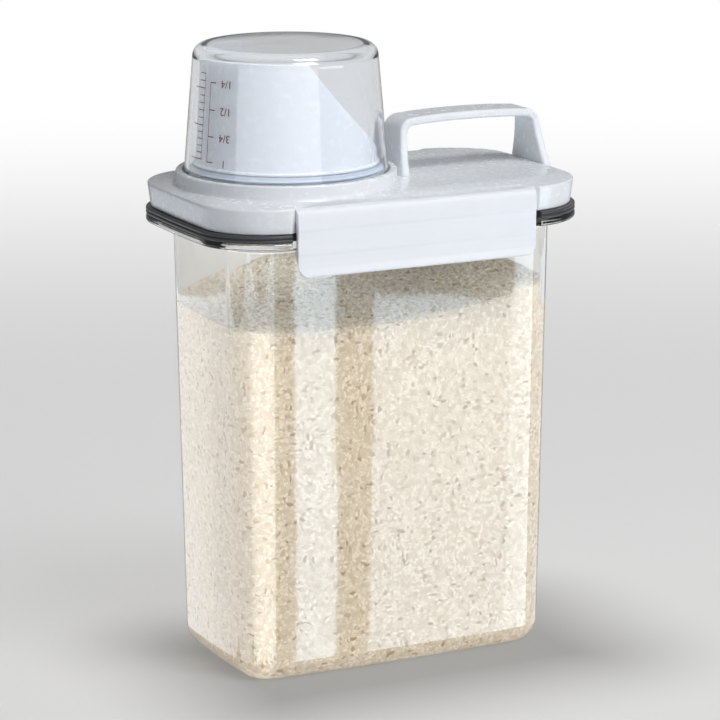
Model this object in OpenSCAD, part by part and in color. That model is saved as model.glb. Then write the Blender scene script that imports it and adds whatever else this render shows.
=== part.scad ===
// Rice bin with a locking lid, a pouring spout and a measuring cup as its cap.
// Millimetres, +Z up. The origin is the centre of the underside, the long side
// runs along X and the photographed flap faces -Y.

/* [Bin] */
// Height of the lid's rim above the floor
rim_z = 196; // [185:1:230]
// Length of the lid, over its bowed ends
lid_l = 164; // [160:1:176]
// Width of the lid, over its bowed sides
lid_w = 104; // [100:1:116]
// Corner radius of the lid
lid_r = 26; // [22:1:30]
// How far the sides of the lid bulge outward
lid_bow = 1.8; // [0:0.1:2.4]
// Distance from the lid's edge in to the bin's wall
wall_inset = 10; // [9:0.5:11]
// How much the bin's wall draws in on each side, from the rim to the floor
wall_draft = 3.2; // [1:0.2:5]
// Thickness of the bin's wall
wall_t = 2; // [1.5:0.1:2.4]
// Radius between the bin's wall and its floor
floor_r = 9; // [6:0.5:10]
// Depth of the hollow under the floor, inside the ring that it stands on
foot_h = 0.8; // [0.4:0.1:1.2]

/* [Rim] */
// Height of the lid's skirt
skirt_h = 10; // [9:0.5:11]
// Thickness of the gasket between skirt and flange
gasket_h = 3.1; // [2.5:0.1:3.5]
// Thickness of the bin's flange
flange_h = 2.9; // [2.4:0.1:3.4]
// How far the flange stands out past the lid's edge
flange_out = 0.8; // [0:0.1:1]

/* [Lid] */
// Height of the raised panel above the lid's rim
panel_h = 1.4; // [0.8:0.1:1.6]
// Width of the slope from the panel down to a long side
border_w = 14; // [10:1:18]
// Thickness of the lid's top
top_t = 2.4; // [2:0.1:3]

/* [Handle] */
// Where the handle's outer left face meets its top bar
handle_x0 = 14; // [13.5:0.5:18]
// Where the handle's outer right face meets its top bar
handle_x1 = 78.4; // [70:0.2:79]
// Height of the top bar above the rim
handle_h = 25; // [20:0.5:34]
// Width of the top bar
handle_w = 16; // [12:1:20]
// Thickness of the strap
handle_t = 3.4; // [3:0.1:4]
// How much wider each side of a foot is than the bar
foot_flare = 6; // [2:0.5:8]

/* [Spout and cup] */
// Distance of the spout's axis from the middle of the lid, towards -X
spout_off = 33.2; // [32.6:0.2:33.4]
// Height of the spout's lip above the rim
spout_h = 53; // [40:1:53.4]
// Outer radius of the spout at its lip
lip_r = 33.8; // [33:0.1:34]
// Height of the upturned cup above the rim
cup_h = 57; // [56.6:0.2:66]
// Outer radius of the cup at its closed end
cup_end_r = 37; // [36.9:0.1:38]
// Outer radius of the cup at its rim
cup_rim_r = 41.2; // [41:0.1:41.3]
// Thickness of the cup's wall
cup_t = 1.6; // [1.4:0.1:1.7]
// Outer radius of the collar that the cup sits in
collar_r = 44.3; // [44:0.1:44.6]
// Height of the collar above the rim
collar_h = 6.8; // [6:0.2:7.4]

/* [Flaps] */
// Length of a locking flap
flap_l = 105; // [90:1:106]
// Height of a locking flap, from the rim down
flap_h = 27.4; // [26:0.2:30]
// Radius of a flap's lower corners
flap_corner_r = 5; // [3:0.5:7]

/* [Rice] */
// Height of the rice at the low point of its front edge
rice_low_z = 143.5; // [60:0.5:144]
// How much higher the front edge is at the right end
front_rise = 10.5; // [0:0.5:12]
// Height of the heap at the back above the back left corner
back_heap = 15; // [0:0.5:16]

/* [Hidden] */
$fn = 72;
thin = 0.01;
eps = 0.05;

// Outline of the lid and the bin
corner_steps = 8;
long_steps = 6;
short_steps = 4;
floor_steps = 5;

// Levels, measured from the floor
skirt_z = rim_z - skirt_h;
gasket_z = skirt_z - 0.1;
flange_top = gasket_z - gasket_h - 0.1;
flange_z = flange_top - flange_h;
neck_z = flange_z - 3;
mouth_top = skirt_z + 5;
mouth_in = wall_inset + wall_t;
bottom_t = 2.2;
foot_in = wall_inset + wall_draft + floor_r + 9;
cavity_floor_r = floor_r - wall_t;

// Flap hinge
axis_y = lid_w / 2 - 3.6;
axis_z = rim_z - 2.7;
barrel_r = 2.3;
stub_r = 1.15;
stub_bore_r = 1.22;
stub_l = 2.4;
pocket_y = axis_y - 3.3;
pocket_x = flap_l / 2 + 0.6;
seal_notch_y = axis_y - 0.6;
ear_l = 4.6;

// Spout and cup seat
cup_x = -spout_off;
seat_z = rim_z + 2.4;
washer_h = 1.2;
spout_flange_z = seat_z + washer_h;
spout_flange_h = 2.2;
spout_flange_r = 39;
plug_r = 34.9;
bore_r = 35.05;
plug_z = rim_z - 6;
spout_t = 1.8;
neck_r = 36.2;
cup_rim_z = seat_z + 0.7;
cup_end_t = 2;
cup_edge_r = 5;
groove_r = cup_rim_r + 0.45;

// The mouth of the spout is a hollow arc with its centre up and to the right
mouth_arc_r = 167;
mouth_arc_x = cup_x + 130.2;
mouth_arc_z = rim_z + 149.8;

// Handle
foot_z = rim_z - 1.2;
foot_lean = 2.2;
handle_mid = (handle_x0 + handle_x1) / 2;
bar_arch = 0.8;

// Places on a circle's arc from angle a0 to a1
function arc(c, r, a0, a1, n) = [
    for (i = [0:n]) let (a = a0 + (a1 - a0) * i / n) c + r * [cos(a), sin(a)]
];

// Places between p and q, without the two ends
function between(p, q, n) = [for (i = [1:n - 1]) p + (q - p) * i / n];

// Rounded rectangle, with in-between places on its straight sides
function rounded(l, w, r) = let (
    cx = l / 2 - r,
    cy = w / 2 - r,
    a = arc([cx, cy], r, 0, 90, corner_steps),
    b = arc([-cx, cy], r, 90, 180, corner_steps),
    c = arc([-cx, -cy], r, 180, 270, corner_steps),
    d = arc([cx, -cy], r, 270, 360, corner_steps),
    n = corner_steps
) concat(
    a, between(a[n], b[0], long_steps),
    b, between(b[n], c[0], short_steps),
    c, between(c[n], d[0], long_steps),
    d, between(d[n], a[0], short_steps)
);

// Rounded rectangle whose sides bulge by bow at their middles; l and w are its full size
function bowed(l, w, r, bow) = let (hl = l / 2 - bow, hw = w / 2 - bow) [
    for (p = rounded(2 * hl, 2 * hw, r))
        let (u = p.x / hl, v = p.y / hw)
            [p.x + bow * u * (1 - v * v), p.y + bow * v * (1 - u * u)]
];

// The lid's outline drawn in by d, with its corners on the same centres
function lid_ring(d) = bowed(lid_l - 2 * d, lid_w - 2 * d, max(lid_r - d, 2), lid_bow);

// The bin's outer wall at height z, drawn in by d
function wall_ring(z, d) = lid_ring(wall_inset + wall_draft * (1 - z / flange_z) + d);

// Flat slice of an outline
module slice(ring, z) {
    translate([0, 0, z]) linear_extrude(thin) polygon(ring);
}

// Upright prism of an outline
module prism(ring, z, h) {
    translate([0, 0, z]) linear_extrude(h) polygon(ring);
}

// The two flap recesses, cut from z upward by h, outside of y
module flap_recess(half_l, y, z, h) {
    for (side = [-1, 1])
        translate([-half_l, side > 0 ? y : -y - 20, z]) cube([2 * half_l, 20, h]);
}

// Drafted wall with a rounded floor edge: r is the floor edge's radius and d the offset
module drafted_body(z0, z1, r, d) {
    hull() {
        for (i = [0:floor_steps]) {
            a = 90 * i / floor_steps;
            slice(wall_ring(z0 + r * (1 - cos(a)), d + r * (1 - sin(a))), z0 + r * (1 - cos(a)));
        }
        slice(wall_ring(z1, d), z1);
    }
}

module bin_body() {
    color("gainsboro", 0.4) difference() {
        union() {
            drafted_body(0, mouth_top, floor_r, 0);
            // Cove under the flange
            hull() {
                slice(wall_ring(neck_z, 0), neck_z);
                slice(lid_ring(wall_inset - 2.4), flange_z + 0.2);
            }
            // Flange with a rounded nose
            hull() {
                slice(lid_ring(0.6 - flange_out), flange_z);
                slice(lid_ring(0.1 - flange_out), flange_z + 0.6);
                slice(lid_ring(-flange_out), flange_z + flange_h / 2);
                slice(lid_ring(0.1 - flange_out), flange_top - 0.7);
                slice(lid_ring(0.5 - flange_out), flange_top - thin);
            }
        }
        // The mouth's lip stands up inside the gasket
        drafted_body(bottom_t, mouth_top + 1, cavity_floor_r, wall_t);
        // The floor is hollow inside its standing ring
        translate([0, 0, -eps]) linear_extrude(foot_h + eps)
            polygon(bowed(lid_l - 2 * foot_in, lid_w - 2 * foot_in, 8, 0));
        flap_recess(flap_l / 2 + 2, seal_notch_y, flange_z - 1, flange_h + 1.5);
    }
}

// Height of the rice at a place: the front edge dips, the back is heaped
function rice_front(x) = rice_low_z + front_rise * pow((x + 30) / 95, 2);
function rice_back(x) = rice_low_z + 4.5 + back_heap * (1 - pow((x - 15) / 80, 2));
function smooth(t) = t * t * (3 - 2 * t);
function rice_z(x, y) = let (t = smooth(min(max((y + 42) / 84, 0), 1)))
    rice_front(x) * (1 - t) + rice_back(x) * t;

rice_gap = wall_t + 0.15;
rice_floor = bottom_t + 0.15;
rice_rings = 7;

// One ring of the rice's skin against the wall, at height z and drawn in by d
function rice_wall(z, d) = [for (p = wall_ring(z, rice_gap + d)) [p.x, p.y, z]];

// One ring of the rice's top, the wall's outline shrunk by s
function rice_top(s) = [
    for (p = wall_ring(rice_low_z, rice_gap)) [p.x * s, p.y * s, rice_z(p.x * s, p.y * s)]
];

module rice_fill() {
    fr = cavity_floor_r;
    rings = concat(
        [for (a = [0:22.5:90]) rice_wall(rice_floor + fr * (1 - cos(a)), fr * (1 - sin(a)))],
        [for (i = [0:rice_rings - 1]) rice_top(1 - i / rice_rings)]
    );
    n = len(rings[0]);
    m = len(rings);
    points = concat([for (ring = rings) for (p = ring) p], [[0, 0, rice_floor], [0, 0, rice_z(0, 0)]]);
    sides = [
        for (k = [0:m - 2]) for (i = [0:n - 1]) let (j = (i + 1) % n)
            each [
                [k * n + i, (k + 1) * n + i, (k + 1) * n + j],
                [k * n + i, (k + 1) * n + j, k * n + j]
            ]
    ];
    floor_fan = [for (i = [0:n - 1]) [n * m, i, (i + 1) % n]];
    top_fan = [for (i = [0:n - 1]) [n * m + 1, (m - 1) * n + (i + 1) % n, (m - 1) * n + i]];
    color("wheat") polyhedron(points, concat(sides, floor_fan, top_fan), convexity = 4);
}

module lid_gasket() {
    color("dimgray") difference() {
        union() {
            prism(lid_ring(-flange_out), gasket_z - gasket_h, gasket_h);
            // Rib that holds the gasket in the lid's channel
            prism(lid_ring(4.4), gasket_z - 0.5, 3);
        }
        prism(lid_ring(6.4), gasket_z, 5);
        prism(lid_ring(wall_inset - 0.8), gasket_z - gasket_h - 1, gasket_h + 2);
        edge_groove(gasket_z - gasket_h / 2 - 0.3);
        flap_recess(flap_l / 2 + 2, seal_notch_y, gasket_z - gasket_h - 1, gasket_h + 2);
        flap_recess(pocket_x + 2.9, pocket_y - 2.4, gasket_z, 5);
    }
}

// Groove that parts the gasket's outer edge into two soft lips
module edge_groove(z) {
    difference() {
        prism(lid_ring(-3), z, 0.6);
        prism(lid_ring(0.4 - flange_out), z - 1, 3);
    }
}

// Outline of the handle seen from the front, between its outer and inner edge
module handle_outline() {
    x0 = handle_x0;
    x1 = handle_x1;
    t = handle_t;
    h = handle_h;
    low = foot_z - rim_z;
    outer = concat(
        [[x0 - foot_lean, low]],
        arc([x0 + 6, h - 7], 6, 172, 95, 6),
        arc([handle_mid, h - bar_arch - 400], 400 + bar_arch, 93.2, 86.8, 8),
        arc([x1 - 6.5, h - 7.4], 6.5, 82, 8, 6),
        [[x1 + foot_lean, low]]
    );
    inner = concat(
        [[x1 + foot_lean - t, low]],
        arc([x1 - t - 3, h - t - 3.8], 3, 8, 84, 4),
        arc([handle_mid, h - t - bar_arch - 400], 400 + bar_arch, 86.9, 93.1, 8),
        arc([x0 + t + 3.4, h - t - 4.2], 3.4, 96, 172, 4),
        [[x0 - foot_lean + t, low]]
    );
    polygon(concat(outer, inner));
}

// The handle's width: slim at the bar and flared at the feet
module handle_side() {
    w = handle_w / 2;
    top = handle_h + 3;
    low = foot_z - rim_z;
    right = [
        [w + foot_flare, low], [w + foot_flare, panel_h], [w + foot_flare - 1, panel_h + 1], [w + 2.2, 11],
        [w + 0.4, 18], [w, 21], [w, top]
    ];
    left = [for (i = [len(right) - 1:-1:0]) [-right[i].x, right[i].y]];
    polygon(concat(right, left));
}

module handle() {
    translate([0, 0, rim_z]) intersection() {
        rotate([90, 0, 0]) linear_extrude(60, center = true) handle_outline();
        rotate([90, 0, 90]) linear_extrude(200, center = true) handle_side();
    }
}

// Collar for the cup with a cove at its foot, as a profile turned about the spout's axis
module collar() {
    r = collar_r;
    top = collar_h;
    translate([cup_x, 0, rim_z]) rotate_extrude() polygon(concat(
        [[bore_r - 2, -top_t], [r + 3, -top_t], [r + 3, 0.3]],
        arc([r + 3, 3.3], 3, 270, 180, 5),
        arc([r - 0.7, top - 0.7], 0.7, 0, 90, 4),
        [[groove_r + 0.5, top], [groove_r, top - 0.5], [groove_r, seat_z - rim_z], [bore_r - 2, seat_z - rim_z]]
    ));
}

// Bearings for the flaps' stubs, at both ends of both recesses
module flap_ears() {
    for (sx = [-1, 1]) for (sy = [-1, 1])
        translate([sx * (pocket_x + ear_l / 2), sy * (axis_y - 0.9), axis_z - 0.4])
            cube([ear_l, 4.2, 6], center = true);
}

module lid() {
    color("whitesmoke") difference() {
        union() {
            difference() {
                // Skirt, rounded edge and raised panel
                hull() {
                    slice(lid_ring(1.4), skirt_z);
                    slice(lid_ring(1.1), skirt_z + 0.6);
                    slice(lid_ring(0.1), rim_z - 1.4);
                    slice(lid_ring(0), rim_z - 0.7);
                    slice(lid_ring(0.3), rim_z - 0.2);
                    slice(lid_ring(0.9), rim_z - thin);
                    slice(bowed(lid_l - 10, lid_w - 2 * border_w, 14, lid_bow), rim_z + panel_h);
                }
                prism(lid_ring(3.4), skirt_z - 1, skirt_h - top_t + 1);
                flap_recess(pocket_x, pocket_y, skirt_z - 1, skirt_h + 4);
            }
            // Wall behind the flap recesses
            intersection() {
                prism(lid_ring(3), skirt_z, skirt_h - 1);
                for (side = [-1, 1])
                    translate([-pocket_x - 2.2, side * (pocket_y - 1) - 1, skirt_z])
                        cube([2 * pocket_x + 4.4, 2, skirt_h]);
            }
            flap_ears();
            // Plug wall that centres the lid in the bin's mouth
            difference() {
                prism(lid_ring(mouth_in + 0.5), skirt_z - 1, skirt_h - 0.5);
                prism(lid_ring(mouth_in + 2), skirt_z - 2, skirt_h + 2);
            }
            // Ribs under the top, right of the spout
            for (x = [22, 42, 62])
                translate([x - 0.7, 5 - lid_w / 2 + mouth_in, rim_z - top_t - 3])
                    cube([1.4, lid_w - 2 * mouth_in - 10, 3.2]);
            // The collar's cove stops at the recesses, so that the flaps can swing past it
            difference() {
                collar();
                flap_recess(pocket_x, pocket_y, skirt_z - 1, skirt_h + 6);
            }
            handle();
        }
        // Bore for the spout's plug
        translate([cup_x, 0, skirt_z - 2]) cylinder(r = bore_r, h = seat_z - skirt_z + 3, $fn = 96);
        // Room for the plug's snap ring below the top
        translate([cup_x, 0, skirt_z - 2]) cylinder(r = bore_r + 1.5, h = skirt_h - top_t + 2, $fn = 96);
        // Bearing bores for the flaps' stubs
        for (sx = [-1, 1]) for (sy = [-1, 1])
            translate([sx * (pocket_x - 0.2), sy * axis_y, axis_z]) rotate([0, sx * 90, 0])
                cylinder(r = stub_bore_r, h = stub_l + 0.9, $fn = 32);
        flap_clearance();
    }
}

// Round clearance for the flaps' barrels
module flap_clearance() {
    for (sy = [-1, 1])
        translate([0, sy * axis_y, axis_z]) rotate([0, 90, 0])
            cylinder(r = barrel_r + 0.35, h = 2 * pocket_x, center = true, $fn = 48);
}

// Section of a flap: barrel, three facets, snap bead and finger lip. +X is outward
module flap_section() {
    top = rim_z - axis_z;
    low = top - flap_h;
    crease_a = top - 8.3;
    crease_b = top - 18;
    circle(r = barrel_r, $fn = 48);
    polygon([
        [0, barrel_r], [1.6, 2.1], [2.7, 1.5], [3.3, 0.5], [3.5, -0.6],
        [3.9, crease_a], [3.5, crease_b], [4.3, low + 0.8], [4, low],
        [2.6, low], [2.2, low + 1.2], [1.5, crease_b - 1.6],
        [0.1, crease_b - 1.2], [-0.2, crease_b - 0.4], [0.1, crease_b + 0.6],
        [1.4, crease_b + 1.6], [1.8, crease_a], [1.2, -2.6], [0, -barrel_r]
    ]);
}

// Outline of a flap from the front, with round lower corners
module flap_face() {
    h = flap_l / 2;
    r = flap_corner_r;
    low = rim_z - flap_h - axis_z;
    polygon(concat(
        [[h, 3], [-h, 3]],
        arc([-h + r, low + r], r, 180, 270, 8),
        arc([h - r, low + r], r, 270, 360, 8)
    ));
}

module flap() {
    translate([0, -axis_y, axis_z]) union() {
        intersection() {
            rotate([90, 0, -90]) linear_extrude(flap_l, center = true) flap_section();
            rotate([90, 0, 0]) linear_extrude(20, center = true) flap_face();
        }
        for (sx = [-1, 1]) translate([sx * (flap_l / 2 - 1), 0, 0]) rotate([0, sx * 90, 0])
            cylinder(r = stub_r, h = stub_l + 1, $fn = 32);
    }
}

module front_flap() {
    color("aliceblue") flap();
}

module rear_flap() {
    color("aliceblue") rotate([0, 0, 180]) flap();
}

// Spout: a tapered tube on a flange, its mouth cut by a hollow arc
module pour_spout() {
    lip = spout_h;
    seat = spout_flange_z - rim_z;
    up = seat + spout_flange_h;
    color("white") difference() {
        translate([cup_x, 0, rim_z]) rotate_extrude($fn = 96) polygon([
            [plug_r - 2, plug_z - rim_z], [plug_r + 0.4, plug_z - rim_z],
            [plug_r + 0.9, -top_t - 0.9], [plug_r + 0.9, -top_t - 0.2],
            [plug_r, -top_t - 0.2], [plug_r, seat],
            [spout_flange_r, seat], [spout_flange_r, up - 0.4], [spout_flange_r - 0.4, up],
            [neck_r + 1.4, up], [neck_r + 1.4, up + 0.6], [neck_r, up + 0.6],
            [neck_r, up + 3.4], [neck_r + 1, up + 3.8], [neck_r + 1, up + 4.4], [neck_r, up + 4.8],
            [lip_r, lip - 0.6], [lip_r - 0.5, lip], [lip_r - spout_t + 0.4, lip],
            [lip_r - spout_t, lip - 0.6], [plug_r - 2, seat + 2]
        ]);
        translate([mouth_arc_x, 0, mouth_arc_z]) rotate([90, 0, 0])
            cylinder(r = mouth_arc_r, h = 100, center = true, $fn = 200);
    }
}

// Flat washer between the lid and the spout's flange
module spout_seal() {
    color("dimgray") translate([cup_x, 0, seat_z]) difference() {
        cylinder(r = spout_flange_r - 0.3, h = washer_h, $fn = 72);
        translate([0, 0, -1]) cylinder(r = plug_r + 0.4, h = washer_h + 2, $fn = 72);
    }
}

// Ring on the spout's neck that closes the cup's rim
module cup_seal() {
    low = spout_flange_z + spout_flange_h + 0.7;
    color("lightsteelblue") translate([cup_x, 0, low]) rotate_extrude() polygon([
        [neck_r + 0.1, 0.1], [neck_r + 1.6, 0.1], [neck_r + 2.7, 0.7], [neck_r + 2.8, 1.1],
        [neck_r + 1.9, 1.5], [neck_r + 1.6, 2.5], [neck_r + 0.1, 2.5]
    ]);
}

// Clear measuring cup, upside down on its seat
module measuring_cup() {
    e = cup_edge_r;
    slope = (cup_rim_r - cup_end_r) / (cup_h - (cup_rim_z - rim_z) - e);
    low = cup_rim_z - rim_z;
    top = cup_h;
    ri = cup_end_r - cup_t;
    ei = e - cup_t;
    color("lightcyan", 0.4) translate([cup_x, 0, rim_z]) rotate_extrude($fn = 96) polygon(concat(
        [[0, top], [cup_end_r - e, top]],
        arc([cup_end_r - e, top - e], e, 80, 0, 6),
        [[cup_rim_r - slope * 1.2, low + 1.2], [cup_rim_r, low + 0.5], [cup_rim_r - 0.4, low]],
        [[cup_rim_r - cup_t, low], [cup_rim_r - cup_t - slope * 1.5, low + 1.5]],
        arc([ri - ei, top - cup_end_t - ei], ei, 0, 90, 6),
        [[0, top - cup_end_t]]
    ));
}

bin_body();
rice_fill();
lid_gasket();
lid();
front_flap();
rear_flap();
pour_spout();
spout_seal();
cup_seal();
measuring_cup();
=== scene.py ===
import bpy
import numpy as np
from mathutils import Matrix, Vector


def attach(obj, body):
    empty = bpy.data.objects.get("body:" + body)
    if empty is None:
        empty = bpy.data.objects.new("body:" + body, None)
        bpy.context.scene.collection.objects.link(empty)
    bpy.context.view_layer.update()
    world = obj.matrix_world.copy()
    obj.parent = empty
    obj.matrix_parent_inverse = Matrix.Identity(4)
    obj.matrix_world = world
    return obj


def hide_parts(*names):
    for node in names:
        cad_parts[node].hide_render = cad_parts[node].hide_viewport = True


# Rice bin with a locking lid, a pouring spout and a measuring cup as its cap.
# Shapes are worked out in millimetres, as the CAD's are, and put() makes them metres.
# +Z is up, the long side runs along X and the photographed flap faces -Y.

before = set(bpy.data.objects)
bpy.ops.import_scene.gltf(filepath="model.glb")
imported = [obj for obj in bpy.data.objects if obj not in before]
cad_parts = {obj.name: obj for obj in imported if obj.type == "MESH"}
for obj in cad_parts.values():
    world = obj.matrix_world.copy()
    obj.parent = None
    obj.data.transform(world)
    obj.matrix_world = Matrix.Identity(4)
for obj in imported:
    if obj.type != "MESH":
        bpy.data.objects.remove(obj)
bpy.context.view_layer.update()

# Lid and bin outline
RIM_Z = 196.0
LID_L = 164.0
LID_W = 104.0
LID_R = 26.0
LID_BOW = 1.8
WALL_INSET = 10.0
WALL_DRAFT = 3.2
WALL_T = 2.0
FLOOR_R = 9.0
FLOOR_T = 2.2
FOOT_H = 0.8

# Rim: skirt, gasket and flange
SKIRT_Z = RIM_Z - 10.0
GASKET_TOP = SKIRT_Z - 0.1
GASKET_LOW = GASKET_TOP - 3.1
FLANGE_TOP = GASKET_LOW - 0.1
FLANGE_Z = FLANGE_TOP - 2.9
FLANGE_OUT = 0.8
NECK_Z = FLANGE_Z - 3.0
MOUTH_TOP = SKIRT_Z + 5.0
MOUTH_IN = WALL_INSET + WALL_T

# Lid
PANEL_H = 1.4
PANEL_IN = 5.0
PANEL_R = 14.0
BORDER_W = 14.0
TOP_T = 2.4
PLUG_TOP = RIM_Z - 2.0
RIB_X = (22, 42, 62)

# Flaps and their recesses
FLAP_L = 105.0
FLAP_H = 27.4
FLAP_CORNER_R = 5.0
AXIS_Y = LID_W / 2 - 3.6
AXIS_Z = RIM_Z - 2.7
BARREL_R = 2.3
STUB_R = 1.15
STUB_L = 2.4
POCKET_Y = AXIS_Y - 3.3
POCKET_X = FLAP_L / 2 + 0.6
NOTCH_X = FLAP_L / 2 + 2.0
NOTCH_Y = AXIS_Y - 0.6

# Handle
HANDLE_X0 = 14.0
HANDLE_X1 = 78.4
HANDLE_H = 25.0
HANDLE_W = 16.0
HANDLE_T = 3.4
FOOT_FLARE = 6.0
FOOT_LEAN = 2.2
FOOT_LOW = -1.2
BAR_R = 400.8

# Spout, seals and cup, about an upright axis at CUP_X
CUP_X = -33.2
SEAT_Z = RIM_Z + 2.4
BORE_R = 35.05
COLLAR_R = 44.3
COLLAR_H = 6.8
COVE_R = 3.0
GROOVE_R = 41.65
SPOUT_FLANGE_Z = SEAT_Z + 1.2
SPOUT_FLANGE_H = 2.2
SPOUT_FLANGE_R = 39.0
SPOUT_TOP = RIM_Z + 53.0
SPOUT_T = 1.8
PLUG_R = 34.9
NECK_R = 36.2
LIP_R = 33.8
MOUTH_ARC_R = 167.0
MOUTH_ARC_X = CUP_X + 130.2
MOUTH_ARC_Z = RIM_Z + 149.8
CUP_TOP = RIM_Z + 57.0
CUP_RIM_Z = SEAT_Z + 0.7
CUP_END_R = 37.0
CUP_RIM_R = 41.2
CUP_T = 1.6
CUP_END_T = 1.6
CUP_EDGE_R = 5.0

# Rice
RICE_LOW_Z = 143.5
FRONT_RISE = 10.5
BACK_HEAP = 15.0
RICE_CELL = 1.3
RICE_TOUCH = -0.12
GRAIN = (1.9, 0.9, 0.8)
GRAIN_PITCH = 1.9

# Floor, in metres: its middle disc and its rim, where it fades to white, and the rectangle
# under the bin that its painted shadow is darkest about, with how far each change reaches
# from there. Then the strength of its own light, and of two painted glows: one seen through
# the bin's clear foot and one that lights the foot
FLOOR_RADII = (0.4, 9.0)
FADE = (0.45, 1.55)
PAINTED_SHADOW_AT = (0.004, -0.02, 0)
PAINTED_SHADOW_HALF = (0.066, 0.034, 1)
PAINTED_SHADOW_REACH = (-0.047, 0.08)
SEEN_GLOW_REACH = (0.0, 0.012)
FOOT_LIGHT_REACH = (0.0, 0.05)
FLOOR_GLOW = 0.5
SEEN_FOOT_GLOW = 1.0
FOOT_LIGHT_GLOW = 1.1

# World and lamps. Angles in degrees, lengths in metres
WORLD_LIGHT = 0.1
WORLD_MIRRORED = 0.3
LAMP_AIM_Z = 0.11
STRIP_FAR = 1.35

# Camera, solved from the photograph's outlines. Angles in degrees, lengths in metres
CAMERA_AZIMUTH = 26.209
CAMERA_ELEVATION = 13.231
CAMERA_DISTANCE = 1.3631
CAMERA_TARGET = Vector((-0.00058, 0.0, 0.12010))
CAMERA_ROLL = -0.152
CAMERA_LENS = 166.28
SENSOR = 36.0


# Outlines and surfaces


def rounded(length, width, radius):
    """Rounded rectangle as one closed row of places: quarter circles joined by straight runs.
    Each quarter circle has a place close to either end, where the notches for the flaps begin."""
    angles = np.concatenate(([0, 1.2], np.linspace(4.5, 85.5, 19), [88.8, 90]))
    runs = (16, 10, 16, 10)
    corners = []
    for k, (sx, sy) in enumerate(((1, 1), (-1, 1), (-1, -1), (1, -1))):
        t = np.radians(angles + 90 * k)
        middle = np.array((sx * (length / 2 - radius), sy * (width / 2 - radius)))
        corners.append(middle + radius * np.column_stack((np.cos(t), np.sin(t))))
    row = []
    for k in range(4):
        p, q = corners[k][-1], corners[(k + 1) % 4][0]
        share = np.arange(1, runs[k])[:, None] / runs[k]
        row += [corners[k], p + (q - p) * share]
    return np.concatenate(row)


def bowed(length, width, radius, bow):
    """Rounded rectangle whose sides bulge: x moves out by bow * u * (1 - v * v) and y likewise."""
    half = np.array((length / 2 - bow, width / 2 - bow))
    flat = rounded(*(2 * half), radius)
    u, v = (flat / half).T
    return flat + bow * np.column_stack((u * (1 - v * v), v * (1 - u * u)))


def lid_ring(d):
    """The lid's outline drawn in by d, with its corners on the same centres."""
    return bowed(LID_L - 2 * d, LID_W - 2 * d, max(LID_R - d, 2), LID_BOW)


def wall_ring(z, d):
    """The bin's outer wall at height z, drawn in by d. The wall's draft is linear in z."""
    return lid_ring(WALL_INSET + WALL_DRAFT * (1 - z / FLANGE_Z) + d)


def at(ring, z):
    """A flat row of places lifted to z, which may differ from place to place."""
    return np.column_stack((ring, np.broadcast_to(z, len(ring))))


def notched(row, half_l, y):
    """Presses a row in to |y| wherever |x| is less than half_l, which cuts a flap's recess."""
    row = row.copy()
    inside = np.abs(row[:, 0]) < half_l
    row[inside, 1] = np.clip(row[inside, 1], -y, y)
    return row


def arc(centre, radius, a0, a1, n):
    """n + 1 places on a circle from angle a0 to a1, in degrees."""
    t = np.radians(np.linspace(a0, a1, n + 1))
    return np.array(centre) + radius * np.column_stack((np.cos(t), np.sin(t)))


def soften(outline, radius, steps=4):
    """Rounds each corner of a closed outline with a parabola that starts and ends radius
    away from it, or half of the way along a shorter side."""
    before = np.roll(outline, 1, 0) - outline
    after = np.roll(outline, -1, 0) - outline
    la = np.linalg.norm(before, axis=1, keepdims=True)
    lb = np.linalg.norm(after, axis=1, keepdims=True)
    p = outline + before / la * np.minimum(radius, 0.45 * la)
    q = outline + after / lb * np.minimum(radius, 0.45 * lb)
    t = np.linspace(0, 1, steps + 1)[None, :, None]
    corner = outline[:, None]
    curve = p[:, None] * (1 - t) ** 2 + corner * 2 * t * (1 - t) + q[:, None] * t * t
    return curve.reshape(-1, 2)


def skin(rows, looped=False, ends=()):
    """Quads over an array of rows of places, whose columns close round.
    looped joins the last row to the first. ends are middle places for the first and the last
    row, which are then closed with fans."""
    count, width = rows.shape[:2]
    index = np.arange(count * width).reshape(count, width)
    low = index if looped else index[:-1]
    high = np.roll(index, -1, 0) if looped else index[1:]
    quads = np.stack((low, np.roll(low, -1, 1), np.roll(high, -1, 1), high), -1)
    faces = quads.reshape(-1, 4).tolist()
    points = rows.reshape(-1, 3)
    if len(ends):
        first, last = index[0], index[-1]
        n = len(points)
        points = np.concatenate((points, np.array(ends, float)))
        faces += np.column_stack((np.full(width, n), np.roll(first, -1), first)).tolist()
        faces += np.column_stack((last, np.roll(last, -1), np.full(width, n + 1))).tolist()
    return points, faces


def lathe(profile, steps=144, caps=()):
    """Turns a closed profile of (radius, z) about the cup's axis. caps are the heights of two
    middles: the profile then starts and ends at these and is closed with fans."""
    t = np.linspace(0, 2 * np.pi, steps, endpoint=False)
    r, z = np.array(profile, float).T
    z = np.repeat(z[:, None], steps, 1)
    rows = np.stack((CUP_X + np.outer(r, np.cos(t)), np.outer(r, np.sin(t)), z), -1)
    return skin(rows, not caps, [(CUP_X, 0, cap) for cap in caps])


def outward(points, faces):
    """A closed part whose volume comes out negative has its faces turned round."""
    volume = 0
    for size in {len(f) for f in faces}:
        f = np.array([f for f in faces if len(f) == size])
        for k in range(1, size - 1):
            a, b, c = (points[f[:, i]] for i in (0, k, k + 1))
            volume += np.einsum("ij,ij->", a, np.cross(b, c))
    return faces if volume > 0 else [f[::-1] for f in faces]


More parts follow.
